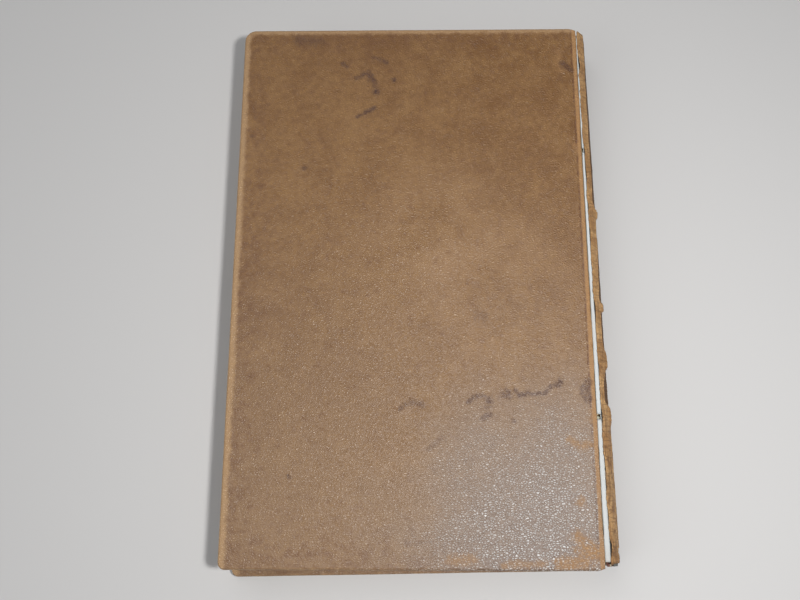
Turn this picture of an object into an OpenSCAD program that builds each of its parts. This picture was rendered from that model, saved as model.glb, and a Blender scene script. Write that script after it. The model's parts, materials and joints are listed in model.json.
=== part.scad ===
// A small prayer book in full leather, closed, lying on its front cover with the back cover up.
// The spine is on the right (+X), the head is away (+Y), and the table is at z = 0.
// The origin lies on the front cover's outer face, at the middle of the book.

/* [Overall] */
// Width of a cover, from its spine edge to its fore-edge
cover_w = 115.5; // [90:0.5:140]
// Height of a cover, from its tail to its head
cover_h = 181; // [145:1:220]
// Thickness of the closed book, over both covers
book_t = 18; // [15:0.5:24]

/* [Covers] */
// Thickness of the leather on the outside of a cover
leather_t = 0.6; // [0.4:0.05:0.8]
// Thickness of the pasteboard in a cover
board_t = 2.2; // [1.6:0.1:2.8]
// Thickness of the leather where it is pared and turned in over the board's edges
turn_in_t = 0.3; // [0.2:0.05:0.5]
// Width of the leather turned in, from the edge of the board
turn_in_w = 12; // [8:1:18]
// Thickness of the paper pasted inside a cover
pastedown_t = 0.15; // [0.1:0.01:0.25]
// Border of leather left bare round the pastedown
pastedown_inset = 3; // [2:0.5:6]
// Radius of a cover's fore-edge corner at the head, where it is worn round
head_corner_r = 4; // [1.5:0.25:5]
// Radius of a cover's fore-edge corner at the tail
tail_corner_r = 2.25; // [1.5:0.25:5]

/* [Worn joints] */
// Turn of the back cover in plan, where its joint has split, in degrees
back_skew = 0.45; // [0:0.05:0.7]
// Turn of the front cover in plan, in degrees
front_skew = 0.65; // [0:0.05:0.7]
// Gap between the back cover and the hinge line, at the head
back_joint_gap = 0.35; // [0.3:0.05:0.8]
// Gap between the front cover and the hinge line, at the tail
front_joint_gap = 0.4; // [0.3:0.05:0.8]
// How far the front cover has slipped towards the tail
front_slip = 0.63; // [0:0.01:1]

/* [Text block] */
// Number of sewn gatherings
gathering_count = 12; // [8:1:16]
// How far the covers stand past the pages at the head and at the tail
end_square = 2.6; // [1.8:0.1:4]
// How far the covers stand past the pages at the fore-edge
fore_square = 3; // [2:0.1:5]
// Depth of the hollow of the fore-edge
fore_hollow = 2.8; // [0:0.1:4]
// How far the outermost folds are beaten over beyond the flat of the pages
shoulder_h = 1.48; // [1:0.02:1.6]
// Gap between one gathering and the next
gathering_gap = 0.02; // [0.01:0.01:0.04]

/* [Loose leaves] */
// Number of loose leaves that turn on each side, behind the flyleaf
turning_leaves = 3; // [1:1:3]
// Thickness of a leaf
leaf_t = 0.12; // [0.08:0.01:0.16]
// Space between one leaf and the next
leaf_gap = 0.05; // [0.03:0.01:0.1]
// Space between a pastedown and its flyleaf
cover_gap = 0.1; // [0.05:0.01:0.2]
// Distance from the hinge line to where a leaf is free to turn
leaf_inset = 2.6; // [2.2:0.1:4]

/* [Spine] */
// How far the rounded spine stands out past the hinge lines
spine_round = 4.5; // [4.4:0.1:6.5]
// Thickness of the leather over the spine
spine_leather_t = 0.8; // [0.5:0.05:1]
// Thickness of the card under the spine leather
stiffener_t = 0.5; // [0.3:0.05:0.8]
// Thickness of the paper lining on the folds
lining_t = 0.25; // [0.15:0.05:0.4]
// Length of spine leather worn away at the tail
tail_wear = 2; // [0.5:0.1:2.5]
// Thickness of the joint leather that still hinges the front cover
joint_leather_t = 0.5; // [0.3:0.05:0.8]
// Height of the strip of lining that shows in the split joint
crack_strip_t = 0.6; // [0.3:0.05:0.8]
// Depth of that strip below the outside of the cover
crack_strip_depth = 0.7; // [0.5:0.05:1]

/* [Sewing] */
// Distance of each sewing cord from the middle of the spine
cord_y = 45; // [30:1:60]
// Radius of a sewing cord
cord_r = 0.6; // [0.4:0.05:0.75]
// Thickness of the thread wrapped round the cords
thread_t = 0.2; // [0.1:0.05:0.25]
// Distance of each kettle stitch from its end of the pages
kettle_inset = 7.4; // [5:0.1:12]
// Radius of the kettle-stitch thread
kettle_r = 0.3; // [0.2:0.05:0.4]
// Length of the cord's slip that is laid into a board
slip_l = 18; // [12:1:28]
// Thickness of the flattened slip
slip_t = 0.6; // [0.4:0.05:0.8]
// Radius of an endband
endband_r = 0.75; // [0.5:0.05:0.9]

/* [Hidden] */
$fn = 96;
big = 400;
// Small clearances: between a still piece and a moving one, and between pieces that touch
clear = 0.08;
touch = 0.01;
// Room left between the spine leather and the planes of the covers
spine_relief = 0.05;
// A saw kerf is this much wider than what lies in it
kerf_room = 0.05;
// Half the width of a cord slip at the board's edge, and at its frayed end
slip_near = 1.2;
slip_far = 3.5;
// The fan of the folds: its steepness, and the steps used to draw it
fan_power = 4;
fan_steps = 10;
fold_steps = 4;

hinge_x = cover_w / 2;
cover_t = leather_t + board_t + pastedown_t;
leaf_pitch = leaf_t + leaf_gap;
leaf_stack = (turning_leaves + 1) * leaf_pitch;
block_low = cover_t + cover_gap + leaf_stack;
block_t = book_t - 2 * block_low;
gathering_t = block_t / gathering_count;
page_h = cover_h - 2 * end_square;
page_x = -cover_w / 2 + fore_square;

// The spine's rounding: one circle through both hinge lines, bulging by spine_round
half_t = book_t / 2;
half_chord = half_t - spine_relief;
spine_r = (half_chord * half_chord + spine_round * spine_round) / (2 * spine_round);
spine_x = hinge_x + spine_round - spine_r;
stiffener_r = spine_r - spine_leather_t;
lining_r = stiffener_r - stiffener_t;
fold_r = lining_r - lining_t;
fold_angle = asin((block_t / 2 + shoulder_h) / fold_r);
wrapped_r = cord_r + thread_t;
cord_arc_r = fold_r - wrapped_r - kerf_room;
kettle_y = page_h / 2 - kettle_inset;
spine_head_y = cover_h / 2 - 0.2;
spine_tail_y = -cover_h / 2 + tail_wear;

function gathering_name(i) = str("gathering_", i < 10 ? "0" : "", i);
function side_name(side) = side > 0 ? "back" : "front";
function leaf_name(side, k) = str(side_name(side), k == 0 ? "_flyleaf" : str("_leaf_", k));

// ---- Placing ----

// A profile drawn in X and Z, drawn out along Y from y0 to y1
module along_y(y0, y1) {
    translate([0, y1, 0]) rotate([90, 0, 0]) linear_extrude(height = y1 - y0) children();
}

// A cover drawn flat: spine edge on x = 0, outer face on z = 0, inner face below it
module on_cover(side) {
    if (side > 0)
        translate([hinge_x - back_joint_gap, cover_h / 2, book_t])
            rotate([0, 0, -back_skew])
                translate([0, -cover_h / 2, 0]) children();
    else
        translate([hinge_x - front_joint_gap, -cover_h / 2 - front_slip, 0])
            rotate([0, 0, front_skew])
                translate([0, cover_h / 2, 0]) mirror([0, 0, 1]) children();
}

// The room a cover keeps for itself, up to a clearance past its spine edge
module cover_room(side) {
    on_cover(side)
        translate([clear - big, -big / 2, -cover_t - clear]) cube([big, big, cover_t + 2]);
}

// An arc of a round section about the spine's axis
module spine_arc(y, r, angle) {
    translate([spine_x, y, half_t]) rotate([90, 0, 0]) rotate([0, 0, -angle])
        rotate_extrude(angle = 2 * angle) translate([r, 0]) children();
}

// A ring about the spine's axis, in section
module spine_ring(r_in, r_out) {
    translate([spine_x, half_t]) difference() {
        circle(r = r_out, $fn = 180);
        circle(r = r_in, $fn = 180);
    }
}

// ---- Covers ----

// A plate w wide and h high with two rounded fore-edge corners, its spine edge on x = 0
module cover_outline(w, h, head_r, tail_r) {
    for (corner = [[1, head_r], [-1, tail_r]]) {
        r = corner[1];
        middle_y = corner[0] * h / 8;
        translate([-w + r, middle_y - 3 * h / 8]) square([w - r, 3 * h / 4]);
        translate([-w, middle_y - 3 * h / 8 + (corner[0] < 0 ? r : 0)]) square([2 * r, 3 * h / 4 - r]);
        translate([-w + r, corner[0] * (h / 2 - r)]) circle(r = r);
    }
}

// The board: full size on the outside, stepped back inside where the leather is turned in
module board_shape() {
    w = cover_w - leather_t;
    h = cover_h - 2 * leather_t;
    step_z = -leather_t - board_t + turn_in_t;
    translate([0, 0, step_z])
        linear_extrude(height = board_t - turn_in_t)
            cover_outline(w, h, head_corner_r - leather_t, tail_corner_r - leather_t);
    translate([-w + turn_in_w, -h / 2 + turn_in_w, -leather_t - board_t])
        cube([w - turn_in_w, h - 2 * turn_in_w, turn_in_t]);
}

// The two slips of cord, let into the board's inner face and fanned out
module slip_shapes(side) {
    shift = side > 0 ? 0 : front_slip;
    for (end = [-1, 1])
        translate([0, end * cord_y + shift, -leather_t - board_t])
            linear_extrude(height = slip_t)
                polygon([[0, -slip_near], [0, slip_near], [-slip_l, slip_far], [-slip_l, -slip_far]]);
}

module board(side) {
    color("tan") on_cover(side) difference() {
        board_shape();
        slip_shapes(side);
    }
}

module cover_leather(side) {
    color("sienna") on_cover(side) difference() {
        translate([0, 0, -leather_t - board_t])
            linear_extrude(height = leather_t + board_t)
                cover_outline(cover_w, cover_h, head_corner_r, tail_corner_r);
        board_shape();
    }
}

module pastedown(side) {
    color("oldlace") on_cover(side)
        translate([-cover_w + pastedown_inset, -cover_h / 2 + pastedown_inset, -cover_t])
            cube([cover_w - pastedown_inset, cover_h - 2 * pastedown_inset, pastedown_t]);
}

module cord_slips(side) {
    color("darkkhaki") on_cover(side) slip_shapes(side);
}

// ---- Leaves ----

// Leaf k counts inwards from the cover: 0 is the flyleaf
module leaf(side, k) {
    depth = cover_t + cover_gap + k * leaf_pitch;
    z = side > 0 ? book_t - depth - leaf_t : depth;
    color("antiquewhite")
        translate([page_x, -page_h / 2, z]) cube([hinge_x - leaf_inset - page_x, page_h, leaf_t]);
}

// ---- Text block ----

// Boundary k between gatherings, from 0 at the front to gathering_count at the back
function flat_z(k) = block_low + k * gathering_t;
function fold_at(k) = -fold_angle + 2 * fold_angle * k / gathering_count;
function fold_point(angle) = [spine_x + fold_r * cos(angle), half_t + fold_r * sin(angle)];
function fore_x(k) =
    let (across = (flat_z(k) - half_t) / (block_t / 2)) page_x + fore_hollow * (1 - across * across);

// A boundary runs flat from the fore-edge, then rises or falls to its place on the rounded spine
function boundary(k, lift) =
    let (start = hinge_x - leaf_inset, end = fold_point(fold_at(k)))
    concat(
        [[fore_x(k), flat_z(k) + lift]],
        [for (i = [0:fan_steps]) let (s = i / fan_steps)
            [start + (end[0] - start) * s, flat_z(k) + lift + (end[1] - flat_z(k)) * pow(s, fan_power)]]
    );

function reversed(list) = [for (i = [len(list) - 1:-1:0]) list[i]];

module gathering(i) {
    low = i - 1;
    lift = gathering_gap / 2;
    inset = gathering_gap / fold_r * 90 / PI;
    from = fold_at(low) + inset;
    to = fold_at(i) - inset;
    fold = [for (j = [1:fold_steps - 1]) fold_point(from + (to - from) * j / fold_steps)];
    color("wheat") difference() {
        along_y(-page_h / 2, page_h / 2)
            polygon(concat(boundary(low, lift), fold, reversed(boundary(i, -lift))));
        for (end = [-1, 1]) {
            kerf(end * cord_y, wrapped_r, cord_arc_r);
            kerf(end * kettle_y, kettle_r, fold_r - kettle_r - kerf_room);
        }
    }
}

// A saw kerf across the folds, for a cord or thread of radius r that runs at radius arc_r
module kerf(y, r, arc_r) {
    reach = r + kerf_room;
    along_y(y - reach, y + reach) spine_ring(arc_r - reach, fold_r + 1);
}

module sewing_cord(y) {
    color("burlywood") difference() {
        union() {
            spine_arc(y, cord_arc_r, fold_angle) circle(r = cord_r, $fn = 48);
            for (side = [-1, 1]) cord_end(y, side, cord_r - 3 * touch);
        }
        for (side = [-1, 1]) cover_room(side);
    }
}

// From the last fold the cord runs straight on towards the cover, drawn a little thinner by the pull
module cord_end(y, side, r) {
    translate([spine_x, y, half_t]) rotate([0, -side * fold_angle, 0])
        translate([cord_arc_r, 0, 0]) mirror([0, 0, side > 0 ? 0 : 1])
            translate([0, 0, -cord_r / 2]) cylinder(r = r, h = 6 * cord_r, $fn = 48);
}

module sewing_thread() {
    color("linen") for (end = [-1, 1]) {
        spine_arc(end * cord_y, cord_arc_r, fold_angle - 1) difference() {
            circle(r = wrapped_r, $fn = 48);
            circle(r = cord_r + touch, $fn = 48);
        }
        spine_arc(end * kettle_y, fold_r - kettle_r - kerf_room, fold_angle - 1) circle(r = kettle_r);
    }
}

module endband(end) {
    color("rosybrown")
        spine_arc(end * (page_h / 2 + endband_r + touch), fold_r - endband_r - kerf_room, fold_angle)
            circle(r = endband_r, $fn = 48);
}

// ---- Spine ----

// Half-plane in section, to the right of x
module right_of(x) {
    translate([x, -big / 2]) square([big, big]);
}

module spine_lining() {
    edge = hinge_x + spine_relief;
    crack_w = back_joint_gap + cover_h * sin(back_skew);
    strip_low = book_t - crack_strip_depth - crack_strip_t;
    ring_end = half_t + sqrt(fold_r * fold_r - pow(edge - spine_x, 2));
    color("whitesmoke") difference() {
        along_y(-page_h / 2, page_h / 2) {
            intersection() {
                spine_ring(fold_r + touch, lining_r);
                right_of(edge);
            }
            // A web of paper joins the ring to the strip that shows in the split
            intersection() {
                translate([edge - clear, ring_end])
                    square([lining_t + clear, strip_low - ring_end + clear]);
                translate([spine_x, half_t]) circle(r = stiffener_r, $fn = 180);
            }
            translate([edge - crack_w, strip_low]) square([crack_w, crack_strip_t]);
        }
        cover_room(1);
        for (end = [-1, 1]) cord_end(end * cord_y, 1, cord_r + clear);
    }
}

module spine_stiffener() {
    color("slategray") along_y(spine_tail_y - endband_r, page_h / 2)
        intersection() {
            spine_ring(lining_r + touch, stiffener_r);
            right_of(hinge_x + spine_round / 4);
        }
}

module spine_leather() {
    color("peru") along_y(spine_tail_y, spine_head_y)
        intersection() {
            spine_ring(stiffener_r + touch, spine_r);
            right_of(hinge_x + 2 * spine_relief);
        }
}

module front_joint_leather() {
    gap_w = front_joint_gap + cover_h * sin(front_skew);
    color("saddlebrown") difference() {
        along_y(spine_tail_y, page_h / 2)
            translate([hinge_x - gap_w, spine_relief]) square([gap_w + spine_relief, joint_leather_t]);
        cover_room(-1);
    }
}

// ---- The book ----

for (i = [1:gathering_count]) gathering(i);
spine_lining();
spine_stiffener();
spine_leather();
front_joint_leather();
sewing_cord(cord_y);  // sewing_cord_head
sewing_cord(-cord_y);  // sewing_cord_tail
sewing_thread();
endband(1);  // headband
endband(-1);  // tailband
for (side = [1, -1]) {
    board(side);
    cover_leather(side);
    pastedown(side);
    cord_slips(side);
    for (k = [0:turning_leaves])
        leaf(side, k);
}
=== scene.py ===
import json
import math
import random

import bmesh
import bpy
from mathutils import Matrix, Vector, noise


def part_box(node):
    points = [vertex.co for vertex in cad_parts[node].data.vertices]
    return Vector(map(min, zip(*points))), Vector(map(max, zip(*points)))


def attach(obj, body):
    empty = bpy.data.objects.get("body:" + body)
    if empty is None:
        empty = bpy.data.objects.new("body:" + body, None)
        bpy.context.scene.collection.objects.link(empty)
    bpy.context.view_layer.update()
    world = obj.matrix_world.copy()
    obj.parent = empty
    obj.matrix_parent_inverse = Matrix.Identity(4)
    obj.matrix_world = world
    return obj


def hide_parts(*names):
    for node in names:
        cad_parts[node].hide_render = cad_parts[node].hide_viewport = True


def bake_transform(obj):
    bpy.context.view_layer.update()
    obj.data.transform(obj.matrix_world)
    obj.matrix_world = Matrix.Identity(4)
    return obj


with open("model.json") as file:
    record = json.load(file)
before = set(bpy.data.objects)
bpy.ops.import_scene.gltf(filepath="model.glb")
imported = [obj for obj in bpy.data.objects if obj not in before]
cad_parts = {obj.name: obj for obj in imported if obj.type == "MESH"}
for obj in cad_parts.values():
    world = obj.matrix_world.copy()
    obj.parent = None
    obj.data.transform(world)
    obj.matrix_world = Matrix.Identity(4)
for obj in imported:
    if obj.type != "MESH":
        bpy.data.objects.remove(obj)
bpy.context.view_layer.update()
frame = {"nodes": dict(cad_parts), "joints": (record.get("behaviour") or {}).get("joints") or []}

# ---- The gatherings ----
# Twelve gatherings of old rag paper, each of four double leaves folded inside one another.
# They are sewn through the fold, rounded and backed, so the folds fan out over the shoulders
# and the fore-edge is hollow. Every double leaf is a thin sheet drawn along its own fold.
MM = 0.001
hinge = {joint["name"]: Vector(joint["pos_m"]) for joint in frame["joints"] if "pos_m" in joint}
hinge_x = hinge["back_cover_hinge"].x
book_t = hinge["back_cover_hinge"].z
mid_z = book_t / 2
gathering_count = sum(name.startswith("gathering_") for name in frame["nodes"])

spine_relief = 0.05 * MM
spine_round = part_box("spine_leather")[1].x - hinge_x
half_chord = mid_z - spine_relief
spine_r = (half_chord ** 2 + spine_round ** 2) / (2 * spine_round)
spine_x = hinge_x + spine_round - spine_r

page_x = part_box("gathering_01")[0].x
page_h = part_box("gathering_01")[1].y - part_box("gathering_01")[0].y
fold_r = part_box("gathering_06")[1].x - spine_x
fold_angle = math.asin((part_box("gathering_12")[1].z - mid_z) / fold_r)
fan_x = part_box("back_leaf_1")[1].x
block_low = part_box("front_leaf_3")[1].z + 0.05 * MM
gathering_t = (book_t - 2 * block_low) / gathering_count
fore_hollow = 2.8 * MM
double_leaves = 4
sheet_t = 0.085 * MM
cord_y = 45 * MM
kerf_half = 0.9 * MM
kerf_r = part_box("sewing_cord_head")[1].x - spine_x - 1.4 * MM


def fold_place(k, reach, share):
    """A point in X and Z on boundary k of the block; share runs 0 to 1 over the fan of the folds."""
    angle = fold_angle * (2 * k / gathering_count - 1)
    flat = block_low + k * gathering_t
    end_x = spine_x + reach * math.cos(angle)
    end_z = mid_z + reach * math.sin(angle)
    return fan_x + (end_x - fan_x) * share, flat + (end_z - flat) * share ** 4


def leaf_points(k, reach, uneven):
    """One leaf in section, from its fore-edge to its fold."""
    flat = block_low + k * gathering_t
    across = (flat - mid_z) / (book_t / 2 - block_low)
    fore = page_x + fore_hollow * (1 - across ** 2) + uneven
    points = [(fore, flat), (fore * 0.5 + fan_x * 0.5, flat)]
    return points + [fold_place(k, reach, step / 9) for step in range(10)]


def finish_mesh(name, bm, smooth=True):
    """Turns a bmesh into an object at the origin."""
    mesh = bpy.data.meshes.new(name)
    bm.to_mesh(mesh)
    bm.free()
    mesh.polygons.foreach_set("use_smooth", [smooth] * len(mesh.polygons))
    made = bpy.data.objects.new(name, mesh)
    bpy.context.scene.collection.objects.link(made)
    return made


def ring_of_edges(bm, points, y):
    """A closed loop of new edges through points in X and Z."""
    row = [bm.verts.new((x, y, z)) for x, z in points]
    return [bm.edges.new(pair) for pair in zip(row, row[1:] + row[:1])]


def extruded(bm, edges):
    """Extrudes edges on the spot; returns the new vertices, edges and faces."""
    out = bmesh.ops.extrude_edge_only(bm, edges=edges)["geom"]
    verts = [part for part in out if isinstance(part, bmesh.types.BMVert)]
    fresh = [part for part in out if isinstance(part, bmesh.types.BMEdge)
             and all(vert in verts for vert in part.verts)]
    return verts, fresh, [part for part in out if isinstance(part, bmesh.types.BMFace)]


def into_kerf(co):
    """Near a cord the folds dip to the floor of the saw kerf."""
    from_spine = math.hypot(co.x - spine_x, co.z - mid_z)
    start = fold_r - 4 * MM
    if from_spine < start or co.x < hinge_x - 3 * MM:
        return co
    part = (from_spine - start) / (fold_r - start)
    scale = 1 - (fold_r - kerf_r) * part ** 2 / from_spine
    return Vector((spine_x + (co.x - spine_x) * scale, co.y, mid_z + (co.z - mid_z) * scale))


def gathering(number):
    """Four double leaves folded inside one another, from the outermost in."""
    dice = random.Random(number)
    bm = bmesh.new()
    tone = bm.verts.layers.float.new("tone")
    half_sheet = sheet_t / 2 / gathering_t
    for m in range(double_leaves):
        inset = (m + 0.5) / (2 * double_leaves)
        reach = fold_r - (m * 0.13 + 0.06) * MM
        low, high = number - 1 + inset, number - inset
        fores = [dice.uniform(-0.12, 0.12) * MM for leaf in range(2)]
        walls = []
        for way, depth in ((-1, 0), (1, sheet_t)):
            first, last = low + way * half_sheet, high - way * half_sheet
            tip = [fold_place(first + (last - first) * share, reach - depth + 0.03 * MM, 1)
                   for share in (0.3, 0.5, 0.7)]
            walls.append(leaf_points(first, reach - depth, fores[0]) + tip
                         + leaf_points(last, reach - depth, fores[1])[::-1])
        end = page_h / 2 + dice.uniform(-0.12, 0.1) * MM
        stations = [-end, -page_h / 4, 0, page_h / 4, end]
        stations += [side * cord_y + edge for side in (-1, 1)
                     for edge in (-kerf_half * 1.06, -kerf_half, kerf_half, kerf_half * 1.06)]
        stations.sort()
        before = set(bm.verts)
        edges = ring_of_edges(bm, walls[0] + walls[1][::-1], stations[0])
        bmesh.ops.contextual_create(bm, geom=edges)
        for here, there in zip(stations, stations[1:]):
            verts, edges = extruded(bm, edges)[:2]
            bmesh.ops.translate(bm, verts=verts, vec=(0, there - here, 0))
        bmesh.ops.contextual_create(bm, geom=edges)
        shade = dice.random()
        for vert in set(bm.verts) - before:
            vert[tone] = shade
            if min(abs(vert.co.y - cord_y), abs(vert.co.y + cord_y)) < kerf_half * 1.01:
                vert.co = into_kerf(vert.co)
    bmesh.ops.recalc_face_normals(bm, faces=bm.faces[:])
    return finish_mesh(f"gathering_{number:02d}_leaves", bm, smooth=False)


def put(tree, kind, sockets=None, **settings):
    """Adds a shader node, sets it up, and gives its sockets values or links."""
    made = tree.nodes.new("ShaderNode" + kind)
    for name, value in settings.items():
        setattr(made, name, value)
    for name, value in (sockets or {}).items():
        if isinstance(value, bpy.types.NodeSocket):
            tree.links.new(value, made.inputs[name])
        else:
            made.inputs[name].default_value = value
    return made


def maths(tree, operation, *values, clamp=False):
    """One step of arithmetic on values or links."""
    return put(tree, "Math", dict(enumerate(values)), operation=operation, use_clamp=clamp).outputs[0]


def cloud(tree, vector, scale, detail=3.0, roughness=0.5, distortion=0.0):
    """Soft noise from 0 to 1; scale is in features per unit of the vector."""
    sockets = {"Vector": vector, "Scale": scale, "Detail": detail}
    sockets.update({"Roughness": roughness, "Distortion": distortion})
    return put(tree, "TexNoise", sockets).outputs["Fac"]


def between(tree, value, low, high):
    """0 below low and 1 above high, and smooth from one to the other."""
    sockets = {"Value": value, "From Min": low, "From Max": high}
    return put(tree, "MapRange", sockets, interpolation_type="SMOOTHSTEP").outputs["Result"]


def falling(tree, value, low, high):
    """1 below low and 0 above high."""
    return maths(tree, "SUBTRACT", 1.0, between(tree, value, low, high))


def mixed(tree, share, first, second):
    """Mixes two colours."""
    made = put(tree, "Mix", data_type="RGBA")
    for index, value in ((0, share), (6, first), (7, second)):
        if isinstance(value, bpy.types.NodeSocket):
            tree.links.new(value, made.inputs[index])
        elif index == 0:
            made.inputs[index].default_value = value
        else:
            made.inputs[index].default_value = (*value, 1)
    return made.outputs[2]


def tinted(tree, colour, mask, strength, tint):
    """Lays a tint over a colour where the mask is, at most as strongly as strength."""
    return mixed(tree, maths(tree, "MULTIPLY", mask, strength), colour, tint)


def node_group(name, takes, gives):
    """An empty node group with named sockets: each is (name, kind, default)."""
    tree = bpy.data.node_groups.new(name, "ShaderNodeTree")
    for label, kind, default in takes:
        socket = tree.interface.new_socket(label, in_out="INPUT", socket_type="NodeSocket" + kind)
        if default is not None:
            socket.default_value = default
    for label, kind in gives:
        tree.interface.new_socket(label, in_out="OUTPUT", socket_type="NodeSocket" + kind)
    source = tree.nodes.new("NodeGroupInput").outputs
    sink = tree.nodes.new("NodeGroupOutput").inputs
    return tree, source, sink


def use(tree, group, **sockets):
    """Places a node group; the names of its sockets have underscores for spaces."""
    made = put(tree, "Group", node_tree=group)
    for name, value in sockets.items():
        socket = made.inputs[name.replace("_", " ")]
        if isinstance(value, bpy.types.NodeSocket):
            tree.links.new(value, socket)
        else:
            socket.default_value = value
    return made.outputs


def new_material(name, roughness):
    """A material, its tree, its Principled shader and its Object coordinates in millimetres."""
    made = bpy.data.materials.new(name)
    made.use_nodes = True
    tree = made.node_tree
    shader = tree.nodes["Principled BSDF"]
    shader.inputs["Roughness"].default_value = roughness
    place = put(tree, "TexCoord").outputs["Object"]
    place = put(tree, "Mapping", {"Vector": place, "Scale": (1000, 1000, 1000)}).outputs["Vector"]
    return made, tree, shader, place


def bumped(tree, shader, height, strength, depth):
    """Feeds a height to the shader's normal; depth is in metres."""
    sockets = {"Height": height, "Strength": strength, "Distance": depth}
    tree.links.new(put(tree, "Bump", sockets).outputs["Normal"], shader.inputs["Normal"])


def aged_paper_group():
    """Old paper: brown towards its edges, foxed in spots, with a fine fibre."""
    takes = [("Vector", "Vector", None), ("Clean", "Color", (1, 1, 1, 1)), ("Brown", "Color", (1, 1, 1, 1)),
             ("Half Height", "Float", 87.0), ("Fore Edge", "Float", -54.0), ("Foxing", "Float", 0.5)]
    tree, takes, gives = node_group("aged paper", takes, [("Color", "Color"), ("Height", "Float")])
    place = takes["Vector"]
    split = put(tree, "SeparateXYZ", {"Vector": place}).outputs
    end = maths(tree, "SUBTRACT", takes["Half Height"], maths(tree, "ABSOLUTE", split["Y"]))
    fore = maths(tree, "SUBTRACT", split["X"], takes["Fore Edge"])
    edge = maths(tree, "MINIMUM", end, fore)
    edge = maths(tree, "ADD", edge, maths(tree, "MULTIPLY", cloud(tree, place, 0.09, 4), -9.0))
    toned = falling(tree, edge, -5.0, 9.0)
    stain = between(tree, cloud(tree, place, 0.022, 4, 0.6, 0.6), 0.42, 0.75)
    brown = maths(tree, "ADD", maths(tree, "MULTIPLY", toned, 0.65), maths(tree, "MULTIPLY", stain, 0.4))
    colour = mixed(tree, maths(tree, "MINIMUM", brown, 1.0), takes["Clean"], takes["Brown"])
    spots = between(tree, cloud(tree, place, 0.32, 2, 0.45), 0.70, 0.78)
    spots = maths(tree, "MULTIPLY", spots, takes["Foxing"])
    colour = mixed(tree, spots, colour, (0.36, 0.19, 0.08))
    fibre = put(tree, "Mapping", {"Vector": place, "Scale": (0.9, 3.5, 1.0)}).outputs["Vector"]
    tree.links.new(colour, gives["Color"])
    tree.links.new(cloud(tree, fibre, 1.6, 4, 0.6), gives["Height"])
    return tree


aged_paper = aged_paper_group()


def paper_material(name, clean, brown, foxing, tone_share=0.0):
    """Old paper; with a tone share, each double leaf is darker by its own tone."""
    made, tree, shader, place = new_material(name, 0.86)
    shader.inputs["Specular IOR Level"].default_value = 0.25
    sheet = use(tree, aged_paper, Vector=place, Clean=(*clean, 1), Brown=(*brown, 1), Foxing=foxing)
    colour = sheet["Color"]
    if tone_share:
        tone = put(tree, "Attribute", attribute_name="tone").outputs["Fac"]
        colour = tinted(tree, colour, tone, tone_share, (0.20, 0.125, 0.06))
    tree.links.new(colour, shader.inputs["Base Color"])
    bumped(tree, shader, sheet["Height"], 0.25, 0.00008)
    return made


page_paper = paper_material("rag paper", (0.66, 0.55, 0.38), (0.40, 0.27, 0.14), 0.5, tone_share=0.5)
for number in range(1, gathering_count + 1):
    piece = gathering(number)
    piece.data.materials.append(page_paper)
    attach(piece, "text_block")
    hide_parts(f"gathering_{number:02d}")

# ---- The sewing ----
# Two linen cords lie in saw kerfs across the folds and run out to the covers. Waxed thread wraps
# them and catches up the kettle stitches near both ends. The twist is a slant of fine ridges.


def twisted_material(name, light, dark, ridges):
    """Twisted plies, pale on their ridges and darker between them."""
    made, tree, shader, place = new_material(name, 0.8)
    shader.inputs["Specular IOR Level"].default_value = 0.3
    split = put(tree, "SeparateXYZ", {"Vector": place}).outputs
    slant = maths(tree, "ADD", maths(tree, "MULTIPLY", split["Y"], 0.8), split["Z"])
    slant = maths(tree, "ADD", slant, maths(tree, "MULTIPLY", cloud(tree, place, 1.5), 0.3))
    ply = maths(tree, "ABSOLUTE", maths(tree, "SINE", maths(tree, "MULTIPLY", slant, ridges)))
    dirt = cloud(tree, place, 1.1, 4)
    colour = mixed(tree, maths(tree, "MULTIPLY", ply, dirt), dark, light)
    tree.links.new(colour, shader.inputs["Base Color"])
    bumped(tree, shader, ply, 0.6, 0.0001)
    return made


def dress(node, material):
    """Gives a CAD node's own mesh a finish."""
    mesh = frame["nodes"][node].data
    mesh.materials.clear()
    mesh.materials.append(material)


cord_linen = twisted_material("linen cord", (0.85, 0.84, 0.68), (0.48, 0.48, 0.37), 7.0)
for node in ("sewing_cord_head", "sewing_cord_tail", "back_cord_slips", "front_cord_slips"):
    dress(node, cord_linen)
dress("sewing_thread", twisted_material("waxed thread", (0.62, 0.56, 0.42), (0.30, 0.25, 0.16), 14.0))

# ---- The endbands ----
# A core at each end of the folds, wrapped with silk in two faded colours that change every few
# turns, with a bead against the edge of the pages. Each wrap is a ring spun round the core's arc.


def endband(name, y):
    """A chain of rings along the arc of the folds, three to a wrap, that changes colour every six wraps."""
    wraps = 84
    core_r = 0.62 * MM
    arc_r = fold_r - 0.8 * MM
    bm = bmesh.new()
    stripe = bm.verts.layers.float.new("stripe")
    rings = []
    for step in range(wraps * 3 + 1):
        angle = fold_angle * (2 * step / (wraps * 3) - 1)
        swell = (1.0, 1.16, 1.16)[step % 3]
        out = Vector((math.cos(angle), 0, math.sin(angle)))
        spot = Vector((spine_x, y, mid_z)) + out * arc_r
        turn = Matrix.Translation(spot) @ Matrix.Rotation(-angle, 4, "Y")
        ring = bmesh.ops.create_circle(bm, segments=14, radius=core_r * swell, matrix=turn)["verts"]
        for vert in ring:
            vert[stripe] = float((step // 3) % 12 < 6)
        rings.append(ring)
    bmesh.ops.bridge_loops(bm, edges=bm.edges[:])
    bmesh.ops.contextual_create(bm, geom=rings[0])
    bmesh.ops.contextual_create(bm, geom=rings[-1])
    bmesh.ops.recalc_face_normals(bm, faces=bm.faces[:])
    return finish_mesh(name, bm)


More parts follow.
